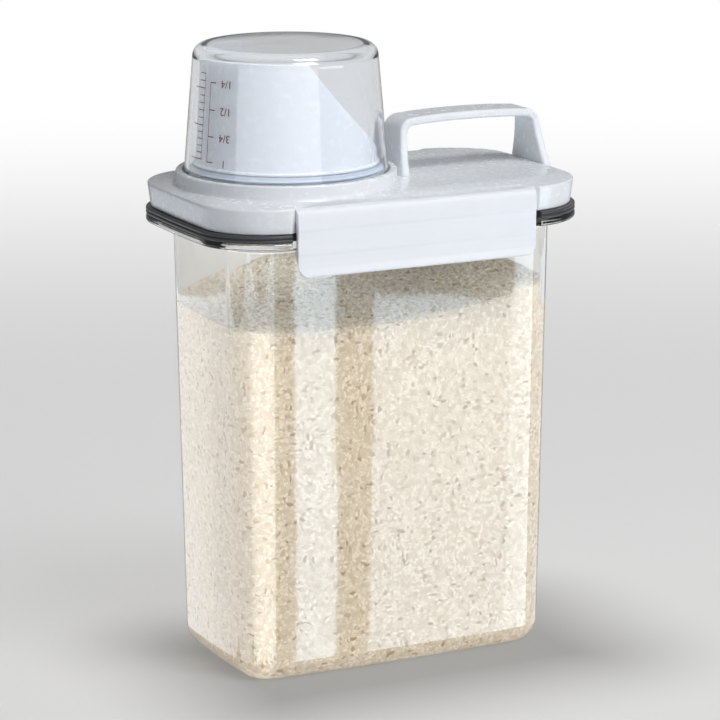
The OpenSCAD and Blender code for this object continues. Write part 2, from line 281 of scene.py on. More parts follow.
def put(name, parts, material, body, replaces=(), sharp=40, weighted=True):
    """Makes one piece of closed parts, smooth up to the angle sharp, and places it on a body."""
    points, faces, n = [], [], 0
    for p, f in parts:
        faces += [[i + n for i in face] for face in outward(p, f)]
        points.append(p)
        n += len(p)
    mesh = bpy.data.meshes.new(name)
    mesh.from_pydata((np.concatenate(points) * 0.001).tolist(), [], faces)
    mesh.shade_smooth()
    mesh.set_sharp_from_angle(angle=np.radians(sharp))
    piece = bpy.data.objects.new(name, mesh)
    bpy.context.scene.collection.objects.link(piece)
    mesh.materials.append(material)
    if weighted:
        piece.modifiers.new("area_normals", "WEIGHTED_NORMAL").keep_sharp = True
    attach(piece, body)
    if replaces:
        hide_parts(*replaces)
    return piece


# Materials


def linear(colour):
    """An sRGB hex colour as linear light, by the sRGB curve."""
    s = np.array([int(colour[i : i + 2], 16) for i in (1, 3, 5)]) / 255
    return (*np.where(s <= 0.04045, s / 12.92, ((s + 0.055) / 1.055) ** 2.4), 1.0)


def add(tree, kind, settings=None, inputs=None):
    """Adds a node with its settings; an input is a value, or a socket that is linked to it."""
    node = tree.nodes.new("ShaderNode" + kind)
    for key, value in (settings or {}).items():
        setattr(node, key, value)
    for key, value in (inputs or {}).items():
        if isinstance(value, bpy.types.NodeSocket):
            tree.links.new(value, node.inputs[key])
        else:
            node.inputs[key].default_value = value
    return node


def new_material(name):
    """An empty node material, its tree and its output's surface socket."""
    material = bpy.data.materials.new(name)
    material.use_nodes = True
    tree = material.node_tree
    tree.nodes.clear()
    out = add(tree, "OutputMaterial")
    return material, tree, out.inputs["Surface"]


def per_mm(size):
    """A texture's scale in metres for features that are size millimetres wide."""
    return 1000 / size


def moulded_white_abs(name, colour, roughness, shade):
    # ABS moulded against polished steel: opaque, faintly blue white with a clean gloss,
    # very slight waves where it shrank, and a shade that varies a little over a hand's width
    material, tree, surface = new_material(name)
    place = add(tree, "TexCoord").outputs["Object"]
    drift = add(tree, "TexNoise", None, {"Vector": place, "Scale": per_mm(60), "Detail": 2})
    tone = add(tree, "Mix", {"data_type": "RGBA"}, {
        0: drift.outputs["Fac"], 6: linear(colour), 7: linear(shade)})
    waves = add(tree, "TexNoise", None, {"Vector": place, "Scale": per_mm(22), "Detail": 1})
    bump = add(tree, "Bump", None, {
        "Height": waves.outputs["Fac"], "Strength": 0.12, "Distance": 0.0004})
    scuffs = add(tree, "TexNoise", None, {"Vector": place, "Scale": per_mm(3), "Detail": 4})
    gloss = add(tree, "MapRange", None, {
        "Value": scuffs.outputs["Fac"], "To Min": roughness * 0.8, "To Max": roughness * 1.3})
    shader = add(tree, "BsdfPrincipled", None, {
        "Base Color": tone.outputs[2], "Roughness": gloss.outputs["Result"], "IOR": 1.54,
        "Normal": bump.outputs["Normal"], "Subsurface Weight": 0.15, "Subsurface Radius": (1, 1, 1),
        "Subsurface Scale": 0.0015,
    })
    tree.links.new(shader.outputs[0], surface)
    return material


def moulded_clear_san(name, colour, roughness, lamp_pass):
    # Styrene-acrylonitrile moulded against polished steel: clear as glass with faint flow waves.
    # Lamps reach what is inside through the Transparent shader, as light does in the real bin
    material, tree, surface = new_material(name)
    place = add(tree, "TexCoord").outputs["Object"]
    flow = add(tree, "TexNoise", None, {"Vector": place, "Scale": per_mm(35), "Detail": 1})
    bump = add(tree, "Bump", None, {"Height": flow.outputs["Fac"], "Strength": 0.1, "Distance": 0.0006})
    shader = add(tree, "BsdfPrincipled", None, {
        "Base Color": linear(colour), "Roughness": roughness, "IOR": 1.57,
        "Transmission Weight": 1.0, "Normal": bump.outputs["Normal"],
    })
    passed = add(tree, "BsdfTransparent", None, {"Color": linear(lamp_pass)})
    rays = add(tree, "LightPath")
    mix = add(tree, "MixShader", None, {
        0: rays.outputs["Is Shadow Ray"], 1: shader.outputs[0], 2: passed.outputs[0]})
    tree.links.new(mix.outputs[0], surface)
    return material


def moulded_silicone(name, colour, roughness):
    # Silicone rubber pressed in a satin mould: soft sheen, with a fine even grain
    material, tree, surface = new_material(name)
    place = add(tree, "TexCoord").outputs["Object"]
    grain = add(tree, "TexNoise", None, {"Vector": place, "Scale": per_mm(0.5), "Detail": 2})
    bump = add(tree, "Bump", None, {
        "Height": grain.outputs["Fac"], "Strength": 0.15, "Distance": 0.0001})
    shader = add(tree, "BsdfPrincipled", None, {
        "Base Color": linear(colour), "Roughness": roughness, "IOR": 1.41,
        "Normal": bump.outputs["Normal"],
    })
    tree.links.new(shader.outputs[0], surface)
    return material


def milled_rice(name, light, dark, speck, gap_shade):
    # Milled short rice, some of it broken: waxy and cream coloured. Grains lie both ways, each
    # with its own tone, and a few are tan. The cracks between them are darker by painted shade
    material, tree, surface = new_material(name)
    place = add(tree, "TexCoord").outputs["Object"]
    stir = add(tree, "TexNoise", None, {"Vector": place, "Scale": per_mm(4), "Detail": 2})
    shift = add(tree, "VectorMath", {"operation": "MULTIPLY_ADD"}, {
        0: stir.outputs["Color"], 1: (0.0022, 0.0022, 0.0022), 2: place})
    tones, gaps = [], []
    for stretch in ((1, 1, 0.6), (0.65, 0.65, 1.05)):
        scaled = add(tree, "VectorMath", {"operation": "MULTIPLY"}, {0: shift.outputs[0], 1: stretch})
        cell = add(tree, "TexVoronoi", None, {"Vector": scaled.outputs[0], "Scale": per_mm(RICE_CELL)})
        edge = add(tree, "TexVoronoi", {"feature": "DISTANCE_TO_EDGE"}, {
            "Vector": scaled.outputs[0], "Scale": per_mm(RICE_CELL)})
        tones.append(cell.outputs["Color"])
        gaps.append(edge.outputs["Distance"])
    patch = add(tree, "TexVoronoi", None, {"Vector": place, "Scale": per_mm(4)})
    way = add(tree, "Math", {"operation": "GREATER_THAN"}, {0: patch.outputs["Color"], 1: 0.5})
    tone = add(tree, "Mix", {"data_type": "RGBA"}, {0: way.outputs[0], 6: tones[0], 7: tones[1]})
    gap = add(tree, "Mix", None, {0: way.outputs[0], 2: gaps[0], 3: gaps[1]})
    ramp = add(tree, "ValToRGB", None, {"Fac": tone.outputs[2]})
    stops = ramp.color_ramp.elements
    stops[0].position, stops[0].color = 0.1, linear(speck)
    stops[1].position, stops[1].color = 0.75, linear(light)
    stops.new(0.2).color = linear(dark)
    depth = add(tree, "MapRange", None, {
        "Value": gap.outputs[0], "From Min": 0.0, "From Max": 0.12, "To Min": 0.7, "To Max": 0.0})
    # Painted shade: the darker colour is mixed in towards each cell's edge, where grains meet
    gap_shaded = add(tree, "Mix", {"data_type": "RGBA"}, {
        0: depth.outputs["Result"], 6: ramp.outputs[0], 7: linear(gap_shade)})
    bump = add(tree, "Bump", None, {"Height": gap.outputs[0], "Strength": 0.5, "Distance": 0.0004})
    shader = add(tree, "BsdfPrincipled", None, {
        "Base Color": gap_shaded.outputs[2], "Roughness": 0.5, "IOR": 1.5,
        "Normal": bump.outputs["Normal"],
    })
    tree.links.new(shader.outputs[0], surface)
    return material


def pad_printed_ink(name, colour):
    # Pad-printed ink: thin, matt and slightly uneven, so its strokes don't glint with the cup
    material, tree, surface = new_material(name)
    place = add(tree, "TexCoord").outputs["Object"]
    worn = add(tree, "TexNoise", None, {"Vector": place, "Scale": per_mm(1), "Detail": 3})
    rough = add(tree, "MapRange", None, {"Value": worn.outputs["Fac"], "To Min": 0.45, "To Max": 0.7})
    shader = add(tree, "BsdfPrincipled", None, {
        "Base Color": linear(colour), "Roughness": rough.outputs["Result"]})
    tree.links.new(shader.outputs[0], surface)
    return material


clear_bin = moulded_clear_san("clear_san_bin", "#FBFAF7", 0.03, "#F4F4F2")
clear_cup = moulded_clear_san("clear_san_cup", "#ECEEF0", 0.02, "#E4E6E8")
white_lid = moulded_white_abs("white_abs_lid", "#EDF0F4", 0.25, "#E6EAF0")
white_flap = moulded_white_abs("white_abs_flap", "#EEF1F8", 0.3, "#E9EDF5")
white_spout = moulded_white_abs("white_abs_spout", "#EEF1F7", 0.25, "#E9EDF5")
dark_silicone = moulded_silicone("dark_silicone", "#46474A", 0.3)
pale_silicone = moulded_silicone("pale_blue_silicone", "#C6CFDD", 0.35)
milled = milled_rice("milled_rice", "#E9E0D1", "#CFC1AA", "#A99578", "#C2B39B")
# A lighter copy of the same rice for the grains on the heap: painted light. Between them the heap shows
# the darker copy as painted shade
rice_painted_lighter = milled_rice("milled_rice_painted_lighter", "#FBF7EE", "#E8DDC8", "#BFA682", "#DCCFB5")
scale_ink = pad_printed_ink("dark_red_ink", "#7A3A3E")


# Bin


def bin_rows():
    """The bin's profile carried round the outline: from the middle of the underside over the
    standing ring, up the drafted wall, the cove, the flange and the mouth's lip, and down inside."""
    foot_in = WALL_INSET + WALL_DRAFT + FLOOR_R + 9
    rows = [at(rounded(LID_L - 2 * foot_in + wider, LID_W - 2 * foot_in + wider, 8), z)
            for wider, z in ((0, FOOT_H), (0, 0.3), (0.6, 0.0))]
    for a in np.radians(np.linspace(0, 90, 13)):
        z = FLOOR_R * (1 - np.cos(a))
        rows.append(at(wall_ring(z, FLOOR_R * (1 - np.sin(a))), z))
    rows += [at(wall_ring(z, 0), z) for z in np.linspace(FLOOR_R + 8, NECK_Z, 8)]
    for a in np.radians(np.linspace(12, 90, 7)):
        share = 1 - np.cos(a)
        z = NECK_Z + (FLANGE_Z - NECK_Z) * np.sin(a)
        rows.append(at(wall_ring(z, -2.4 * share), z))
    nose = soften(np.array([
        (WALL_INSET - 2.6, FLANGE_Z), (0.6 - FLANGE_OUT, FLANGE_Z), (-FLANGE_OUT, FLANGE_Z + 0.7),
        (-FLANGE_OUT, FLANGE_TOP - 0.8), (0.5 - FLANGE_OUT, FLANGE_TOP), (WALL_INSET - 1.6, FLANGE_TOP),
    ]), 0.45)[3:-2]
    rows += [notched(at(lid_ring(d), z), NOTCH_X, NOTCH_Y) for d, z in nose]
    rows.append(at(wall_ring(FLANGE_TOP, 0), FLANGE_TOP))
    lip = arc((0.8, MOUTH_TOP - 0.8), 0.8, 180, 90, 4).tolist()
    lip += arc((WALL_T - 0.8, MOUTH_TOP - 0.8), 0.8, 90, 0, 4).tolist()
    rows += [at(wall_ring(z, d), z) for d, z in lip]
    rows += [at(wall_ring(z, WALL_T), z) for z in np.linspace(NECK_Z, FLOOR_T + FLOOR_R, 9)]
    inner_r = FLOOR_R - WALL_T
    for a in np.radians(np.linspace(80, 0, 9)):
        z = FLOOR_T + inner_r * (1 - np.cos(a))
        rows.append(at(wall_ring(z, WALL_T + inner_r * (1 - np.sin(a))), z))
    return np.array(rows)


put("bin_clear", [skin(bin_rows(), ends=[(0, 0, FOOT_H), (0, 0, FLOOR_T)])],
    clear_bin, "bin", ["bin_body"])


# Rice


def rice_z(x, y):
    """Height of the rice: the front edge dips in a parabola, the back one is heaped, and a
    smooth step in y joins them."""
    t = np.clip((y + 42) / 84, 0, 1)
    t = t * t * (3 - 2 * t)
    front = RICE_LOW_Z + FRONT_RISE * ((x + 30) / 95) ** 2
    back = RICE_LOW_Z + 4.5 + BACK_HEAP * (1 - ((x - 15) / 80) ** 2)
    return front * (1 - t) + back * t


def rice_core(depth):
    """The rice: it meets the wall's inside, a hair into it so that no air shows between, and is
    closed by rings that shrink to the middle of the bottom and of the top, depth under its grains."""
    rows = []
    inner_r = FLOOR_R - WALL_T
    gap, low = WALL_T + RICE_TOUCH, FLOOR_T + RICE_TOUCH
    for a in np.radians(np.linspace(0, 90, 11)):
        z = low + inner_r * (1 - np.cos(a))
        rows.append(at(wall_ring(z, gap + inner_r * (1 - np.sin(a))), z))
    rows += [at(wall_ring(z, gap), z) for z in np.linspace(20, 130, 8)]
    edge = wall_ring(RICE_LOW_Z, gap)
    for share in np.linspace(1, 0.05, 20):
        flat = edge * share
        rows.append(at(flat, rice_z(*flat.T) - depth * (share < 1)))
    return skin(np.array(rows), ends=[(0, 0, low), (0, 0, rice_z(0, 0) - depth)])


def one_grain(sides=5):
    """A spindle of length 2 and radius 1: two rings and two tips."""
    t = np.linspace(0, 2 * np.pi, sides, endpoint=False)
    ring = np.column_stack((np.zeros(sides), np.cos(t), np.sin(t)))
    points = np.concatenate((
        [(-1, 0, 0)], ring * 0.86 + (-0.5, 0, 0), ring * 0.92 + (0.45, 0, 0), [(1, 0, 0)]))
    a = np.arange(1, sides + 1)
    b = np.roll(a, -1)
    tips = np.concatenate((
        np.column_stack((np.zeros_like(a), b, a)),
        np.column_stack((a + sides, b + sides, np.full(sides, 2 * sides + 1))),
    ))
    belt = np.column_stack((a, b, b + sides, a + sides))
    return points, tips, belt


def grains(middles, normals, rng):
    """Grains at middles, lying across normals: each is turned by a random angle in the surface
    and tipped a little out of it, then sized by a random share. Three in ten are broken."""
    n = len(middles)
    helper = np.where(np.abs(normals[:, 2:]) > 0.7, (1.0, 0, 0), (0, 0, 1.0))
    u = np.cross(helper, normals)
    u /= np.linalg.norm(u, axis=1, keepdims=True)
    v = np.cross(normals, u)
    turn = rng.uniform(0, np.pi, (n, 1))
    along = u * np.cos(turn) + v * np.sin(turn) + normals * rng.uniform(-0.22, 0.22, (n, 1))
    along /= np.linalg.norm(along, axis=1, keepdims=True)
    across = np.cross(normals, along)
    across /= np.linalg.norm(across, axis=1, keepdims=True)
    up = np.cross(along, across)
    size = rng.uniform(0.75, 1.1, (n, 1, 1)) * np.array(GRAIN)
    size[:, 0, 0] *= rng.choice((0.7, 1.0), (n, 1), p=(0.3, 0.7))[:, 0]
    points, tips, belt = one_grain()
    axes = np.stack((along, across, up), 1)
    turned = (points * size) @ axes
    offset = (np.arange(n) * len(points))[:, None, None]
    faces = (tips + offset).reshape(-1, 3).tolist() + (belt + offset).reshape(-1, 4).tolist()
    return (turned + middles[:, None]).reshape(-1, 3), faces


def top_grains(rng):
    """Places and normals for the grains on the heap: one to each cell of a jittered grid, kept
    where it lies on the inner side of every edge of the wall's outline."""
    nx, ny = int(LID_L / GRAIN_PITCH), int(LID_W / GRAIN_PITCH)
    i, k = np.meshgrid(np.arange(nx), np.arange(ny))
    x = (i.ravel() + rng.uniform(0, 1, i.size)) * GRAIN_PITCH - LID_L / 2
    y = (k.ravel() + rng.uniform(0, 1, i.size)) * GRAIN_PITCH - LID_W / 2
    edge = wall_ring(RICE_LOW_Z, WALL_T + 0.9)
    ahead = np.roll(edge, -1, 0) - edge
    reach = (x[:, None] - edge[:, 0]) * ahead[:, 1] - (y[:, None] - edge[:, 1]) * ahead[:, 0]
    keep = (reach < 0).all(1)
    x, y = x[keep], y[keep]
    slope_x = rice_z(x + 0.5, y) - rice_z(x - 0.5, y)
    slope_y = rice_z(x, y + 0.5) - rice_z(x, y - 0.5)
    normal = np.column_stack((-slope_x, -slope_y, np.ones_like(x)))
    normal /= np.linalg.norm(normal, axis=1, keepdims=True)
    z = rice_z(x, y) - 0.5 - rng.uniform(0, 0.5, len(x))
    return np.column_stack((x, y, z)), normal


put("rice_heap", [rice_core(0.7)],
    milled, "bin", ["rice_fill"], weighted=False, sharp=60)
rng = np.random.default_rng(41)
# The top grains wear the lighter copy of the rice, painted light
put("rice_grains_top", [grains(*top_grains(rng), rng)],
    rice_painted_lighter, "bin", weighted=False, sharp=180)


# Gasket and lid


def gasket_rows():
    """The gasket's section carried round the outline: two round lips on its outer edge."""
    h = (GASKET_TOP - GASKET_LOW) / 2
    outer = -FLANGE_OUT
    lips = [
        (outer + 0.6 - 0.6 * np.cos(a), GASKET_LOW + h * (k + 0.5) + h * 0.46 * np.sin(a))
        for k in (0, 1) for a in np.linspace(-1.5, 1.5, 9)
    ]
    inner = WALL_INSET - 0.8
    section = [(inner, GASKET_LOW)] + lips + [(inner, GASKET_TOP)]
    return np.array([notched(at(lid_ring(d), z), NOTCH_X, NOTCH_Y) for d, z in section])


put("gasket_ring", [skin(gasket_rows(), looped=True)],
    dark_silicone, "lid", ["lid_gasket"])


def lid_shell_rows():
    """The lid's plate and skirt as one closed section carried round the outline, from the
    spout's bore over the underside, the skirt and the rounded edge to the panel and back."""
    panel = bowed(LID_L - 2 * PANEL_IN, LID_W - 2 * BORDER_W, PANEL_R, LID_BOW)
    edge = lid_ring(0.9)
    aim = panel - (CUP_X, 0)
    circle = aim / np.linalg.norm(aim, axis=1, keepdims=True) * BORE_R + (CUP_X, 0)
    under = RIM_Z - TOP_T
    inside = ((5.0, under), (3.6, under - 0.2), (3.4, under - 1), (3.3, SKIRT_Z + 1), (2.9, SKIRT_Z))
    outside = [
        (1.6, SKIRT_Z), (1.3, SKIRT_Z + 0.15), (1.15, SKIRT_Z + 0.5), (0.6, SKIRT_Z + 4.4),
        (0.1, RIM_Z - 1.6),
    ]
    a = np.radians((80, 65, 50, 35, 20, 8))
    outside += zip(0.9 - 0.9 * np.sin(a), RIM_Z - 0.9 + 0.9 * np.cos(a))
    rows = [at(circle, under)]
    rows += [notched(at(lid_ring(d), z), POCKET_X + 2, POCKET_Y - 2) for d, z in inside]
    rows += [notched(at(lid_ring(d), z), POCKET_X, POCKET_Y) for d, z in outside]
    for share in (0, 0.04, 0.3, 0.6, 0.85, 0.95, 1):
        z = RIM_Z + PANEL_H * share + 0.35 * share * (1 - share)
        rows.append(notched(at(edge + (panel - edge) * share, z), POCKET_X, POCKET_Y))
    rows += [at(panel + (circle - panel) * share, RIM_Z + PANEL_H) for share in (0.06, 0.3, 0.6, 1)]
    return np.array(rows)


def plug_wall_rows():
    """The ring under the lid that centres it in the bin's mouth."""
    section = [(MOUTH_IN + 2, PLUG_TOP), (MOUTH_IN + 2, SKIRT_Z - 1), (MOUTH_IN + 0.8, SKIRT_Z - 1),
               (MOUTH_IN + 0.5, SKIRT_Z - 0.6), (MOUTH_IN + 0.5, PLUG_TOP)]
    return np.array([at(lid_ring(d), z) for d, z in section])


def collar_part():
    """The cup's collar with a cove at its foot, turned about the spout's axis and pressed in
    at the front and back recesses."""
    r, top = COLLAR_R, RIM_Z + COLLAR_H
    cove = arc((r + COVE_R, RIM_Z + PANEL_H + 1.6), COVE_R, 250, 180, 8)
    lip = arc((r - 0.8, top - 0.8), 0.8, 0, 90, 5)
    points, faces = lathe(np.concatenate((
        [(BORE_R, RIM_Z - TOP_T + 0.1), (r + COVE_R, RIM_Z - TOP_T + 0.1)], cove, lip,
        [(GROOVE_R + 0.5, top), (GROOVE_R + 0.1, top - 0.15), (GROOVE_R, top - 0.5)],
        [(GROOVE_R, SEAT_Z), (BORE_R, SEAT_Z)],
    )))
    return notched(points, POCKET_X, POCKET_Y - 0.05), faces


def strap_edge(left, bar, right, feet):
    """One edge of the strap, seen from the front: leg, corner, arched bar, corner and leg. The
    corners and the bar are arcs, each given as centre, radius, first and last angle."""
    left, right = arc(*left, 12), arc(*right, 12)
    share = np.linspace(0, 1, 9)[:-1, None]
    leg_l = feet[0] + (left[0] - feet[0]) * share
    leg_r = right[-1] + (feet[1] - right[-1]) * (1 - share[::-1])
    return np.concatenate((leg_l, left, arc(*bar, 16)[1:-1], right, leg_r))


def handle_part():
    """The strap handle: a rounded section carried along the line between its outer and inner
    edges, wider towards the feet by a power of the height."""
    x0, x1, h, t = HANDLE_X0, HANDLE_X1, HANDLE_H, HANDLE_T
    mid = (x0 + x1) / 2
    feet = np.array(((x0 - FOOT_LEAN, FOOT_LOW), (x1 + FOOT_LEAN, FOOT_LOW)))
    outer = strap_edge(
        ((x0 + 6, h - 7), 6, 172, 95), ((mid, h - BAR_R), BAR_R, 93.2, 86.8),
        ((x1 - 6.5, h - 7.4), 6.5, 82, 8), feet)
    inner = strap_edge(
        ((x0 + t + 3.4, h - t - 4.2), 3.4, 172, 96), ((mid, h - t - BAR_R), BAR_R, 93.1, 86.9),
        ((x1 - t - 3, h - t - 3.8), 3, 84, 8), feet + ((t, 0), (-t, 0)))
    middle, half = (outer + inner) / 2, (outer - inner) / 2
    rise = np.clip((21 - middle[:, 1]) / 19.6, 0, 1)
    wide = HANDLE_W / 2 + FOOT_FLARE * rise**1.6
    a, b = soften(np.array(((1, -1), (1, 1), (-1, 1), (-1, -1))) * (t / 2, HANDLE_W / 2), 1.3, 5).T
    a = a / (t / 2)
    x = middle[:, :1] + half[:, :1] * a
    y = np.sign(b) * (wide[:, None] - (HANDLE_W / 2 - np.abs(b)))
    z = middle[:, 1:] + half[:, 1:] * a
    rows = np.stack((x, y, z + RIM_Z), -1)
    return skin(rows, ends=[rows[0].mean(0), rows[-1].mean(0)])


def rib_part(x):
    """A rib under the plate, across the lid: a rounded strip drawn out along Y."""
    low = np.array(((-0.7, 0.0), (0.7, 0.0), (0.5, -3.0), (-0.5, -3.0)))
    section = soften(low + (x, RIM_Z - TOP_T + 0.1), 0.3, 3)
    reach = LID_W / 2 - MOUTH_IN - 5
    rows = np.stack([np.insert(section, 1, y, axis=1) for y in (-reach, reach)])
    return skin(rows, ends=[rows[0].mean(0), rows[1].mean(0)])


lid_parts = [skin(lid_shell_rows(), looped=True), skin(plug_wall_rows(), looped=True)]
lid_parts += [collar_part(), handle_part()] + [rib_part(x) for x in RIB_X]
put("lid_white", lid_parts, white_lid, "lid", ["lid"], sharp=50)


# Flaps


def flap_parts(side):
    """A locking flap, drawn out along X from its section of barrel, three hollow facets, snap bead
    and finger lip. The lower corners follow a quarter circle, and the ends are eased by 0.4 mm."""
    top = RIM_Z - AXIS_Z
    low = top - FLAP_H
    a, b = top - 8.3, top - 18
    barrel = arc((0, 0), BARREL_R, 270, 90, 14)
    facets = soften(np.array((
        (0, BARREL_R), (1.6, 2.1), (2.7, 1.5), (3.3, 0.5), (3.5, -0.6),
        (3.92, a), (3.64, a - 1.3), (3.46, a - 3.6), (3.46, a - 6.6),
        (3.66, b), (3.4, b - 1.2), (3.42, b - 3.6), (3.66, b - 6),
        (4.3, low + 0.8), (4, low), (2.6, low), (2.2, low + 1.2), (1.5, b - 1.6), (0.1, b - 1.2),
        (-0.2, b - 0.4), (0.1, b + 0.6), (1.4, b + 1.6), (1.8, a), (1.2, -2.6), (0, -BARREL_R),
    )), 0.35, 3)[4:-4]
    section = np.concatenate((barrel, facets))
    inward = np.array((1.9, 0)) + section * (0, 1) - section
    inward /= np.maximum(np.linalg.norm(inward, axis=1, keepdims=True), 0.5)
    h, r = FLAP_L / 2, FLAP_CORNER_R
    ends = ((1, 0, 0.4), (1, 0.12, 0.12), (1, 0.4, 0))
    rows = [(-s, back, inset) for s, back, inset in ends]
    rows += [(s, 0.4, 0) for s in np.linspace(-1, 1, 31)[1:-1]]
    rows += [(s, back, inset) for s, back, inset in ends[::-1]]
    made = []
    for s, back, inset in rows:
        shape = section + inward * inset
        drop = np.clip(low + r - section[:, 1], 0, r - 0.01)
        half = h - r + np.sqrt(r * r - drop * drop) - back
        made.append(np.column_stack((s * half, -AXIS_Y - shape[:, 0], AXIS_Z + shape[:, 1])))
    n = len(section)
    points, faces = skin(np.array(made))
    faces += [list(range(n))[::-1], list(range(len(points) - n, len(points)))]
    circle = arc((0, 0), 1, 0, 345, 23)
    parts = [(points, faces)]
    for sx in (-1, 1):
        pin = np.array([
            np.insert((-AXIS_Y, AXIS_Z) + r2 * circle, 0, sx * (h + x), axis=1)
            for x, r2 in ((-1, STUB_R), (STUB_L - 0.2, STUB_R), (STUB_L, STUB_R - 0.2))])
        parts.append(skin(pin, ends=[pin[0].mean(0), pin[-1].mean(0)]))
    return [(p * (side, side, 1), f) for p, f in parts]


put("flap_front", flap_parts(1), white_flap, "front_flap", ["front_flap"], sharp=24)
put("flap_rear", flap_parts(-1), white_flap, "rear_flap", ["rear_flap"], sharp=24)


# Spout, seals and cup


def spout_rows():
    """The spout: a profile turned about the axis, whose upper part is stretched to end at the
    hollow arc of the mouth: z = arc_z - sqrt(R * R - (x - arc_x) squared), or at the lip."""
    steps = 192
    t = np.linspace(0, 2 * np.pi, steps, endpoint=False)
    seat, up = SPOUT_FLANGE_Z, SPOUT_FLANGE_Z + SPOUT_FLANGE_H
    shoulder = up + 4.8
    x = CUP_X + LIP_R * np.cos(t)
    for _ in range(4):
        reach = MOUTH_ARC_R**2 - (x - MOUTH_ARC_X) ** 2
        edge = np.minimum(MOUTH_ARC_Z - np.sqrt(np.maximum(reach, 0)), SPOUT_TOP)
        radius = NECK_R + (LIP_R - NECK_R) * (edge - shoulder) / (SPOUT_TOP - shoulder)
        x = CUP_X + radius * np.cos(t)
    under = RIM_Z - TOP_T
    outside = [
        (PLUG_R - 2, RIM_Z - 6), (PLUG_R + 0.4, RIM_Z - 6), (PLUG_R + 0.9, under - 0.9),
        (PLUG_R + 0.9, under - 0.2), (PLUG_R, under - 0.2),
        (PLUG_R, seat), (SPOUT_FLANGE_R, seat), (SPOUT_FLANGE_R, up - 0.4),
        (SPOUT_FLANGE_R - 0.4, up), (NECK_R + 1.4, up), (NECK_R + 1.4, up + 0.6), (NECK_R, up + 0.6),
        (NECK_R, up + 3.4), (NECK_R + 1, up + 3.8), (NECK_R + 1, up + 4.4), (NECK_R, shoulder),
    ]
    rows = [np.stack((np.full(steps, r), np.full(steps, z))) for r, z in outside]
    slope = (LIP_R - NECK_R) / (SPOUT_TOP - shoulder)
    for share in (0.25, 0.5, 0.75, 0.97):
        z = shoulder + (edge - 0.5 - shoulder) * share
        rows.append(np.stack((NECK_R + slope * (z - shoulder), z)))
    lip = NECK_R + slope * (edge - shoulder)
    for a in np.radians((20, 55, 90, 125, 160)):
        r = lip - SPOUT_T / 2 + SPOUT_T / 2 * np.cos(a)
        rows.append(np.stack((r, edge - 0.5 + 0.5 * np.sin(a))))
    for share in (0.97, 0.7, 0.4, 0.1):
        z = shoulder + (edge - 0.5 - shoulder) * share
        rows.append(np.stack((NECK_R + slope * (z - shoulder) - SPOUT_T, z)))
    rows.append(np.stack((np.full(steps, PLUG_R - 2), np.full(steps, seat + 2))))
    r, z = np.array(rows).transpose(1, 0, 2)
    return np.stack((CUP_X + r * np.cos(t), r * np.sin(t), z), -1)


put("spout_white", [skin(spout_rows(), looped=True)],
    white_spout, "lid", ["pour_spout"], sharp=45)

washer = [
    (PLUG_R + 0.4, SEAT_Z), (SPOUT_FLANGE_R - 0.4, SEAT_Z), (SPOUT_FLANGE_R - 0.3, SEAT_Z + 0.2),
    (SPOUT_FLANGE_R - 0.3, SPOUT_FLANGE_Z - 0.2), (SPOUT_FLANGE_R - 0.4, SPOUT_FLANGE_Z),
    (PLUG_R + 0.4, SPOUT_FLANGE_Z),
]
put("spout_washer", [lathe(washer)], dark_silicone, "lid", ["spout_seal"])

SEAL_Z = SPOUT_FLANGE_Z + SPOUT_FLANGE_H + 0.7
seal = soften(np.array((
    (0.1, 0.1), (1.6, 0.1), (2.7, 0.7), (2.8, 1.1), (1.9, 1.5), (1.6, 2.5), (0.1, 2.5),
)) + (NECK_R, SEAL_Z), 0.25, 3)
put("cup_seal_ring", [lathe(seal)], pale_silicone, "lid", ["cup_seal"])


def cup_slope():
    """How much the cup's radius grows for each millimetre down its straight wall."""
    return (CUP_RIM_R - CUP_END_R) / (CUP_TOP - CUP_RIM_Z - CUP_EDGE_R)


def cup_radius(z):
    """Outer radius of the cup's straight wall at height z."""
    return CUP_END_R + cup_slope() * (CUP_TOP - CUP_EDGE_R - z)


def cup_part():
    """The cup upside down, turned from its section: out over the ceiling, down the inside, round
    the rim and up the outside to the closed end. Both edges have one radius, so that light isn't
    trapped in the closed end."""
    r, z = CUP_RIM_R, CUP_RIM_Z
    slope = cup_slope()
    ceiling = [(1, CUP_TOP - CUP_END_T), (20, CUP_TOP - CUP_END_T)]
    edge_at = np.array((CUP_END_R - CUP_EDGE_R, CUP_TOP - CUP_EDGE_R))
    inside = arc(edge_at - (CUP_T, CUP_END_T), CUP_EDGE_R, 88, 2, 10)
    rim = [(r - CUP_T - slope * 1.5, z + 1.5), (r - CUP_T, z), (r - 0.4, z), (r, z + 0.5),
           (r - slope * 1.2, z + 1.2)]
    edge = arc(edge_at, CUP_EDGE_R, 4, 88, 12)
    flat = [(20, CUP_TOP), (1, CUP_TOP)]
    profile = np.concatenate((ceiling, inside, rim, edge, flat))
    return lathe(profile, 160, caps=(CUP_TOP - CUP_END_T, CUP_TOP))


put("cup_clear", [cup_part()], clear_cup, "cup", ["measuring_cup"], sharp=50)


# Scale on the cup. Angles are about the cup's axis, counter-clockwise from +X, in degrees, and
# depths are measured down from the closed end, which is the cup's bottom when it is upright.
# The marks for grams have no numbers
CUP_LINE = -165.6
CUP_TICK_END = -161.0
CUP_NUMBER = -152.6
CUP_DEPTHS = (12.3, 23.0, 33.4, 43.4)
CUP_NUMBERS = ("1/4", "1/2", "3/4", "1")
GRAM_LINE = -171.2
GRAM_LONG_END = -181.9
GRAM_SHORT_END = -176.5
GRAM_DEPTHS = (15.0, 29.5, 42.9)
STROKE = 0.36
LINE_W = 0.22
NUMBER_H = 3.1


def wrapped(u, z, lift, angle):
    """Puts flat places (u along the wall, z, lift off it) on the cup round the given angle."""
    r = cup_radius(z)
    a = np.radians(angle) + u / r
    return np.column_stack((CUP_X + (r + lift) * np.cos(a), (r + lift) * np.sin(a), z))


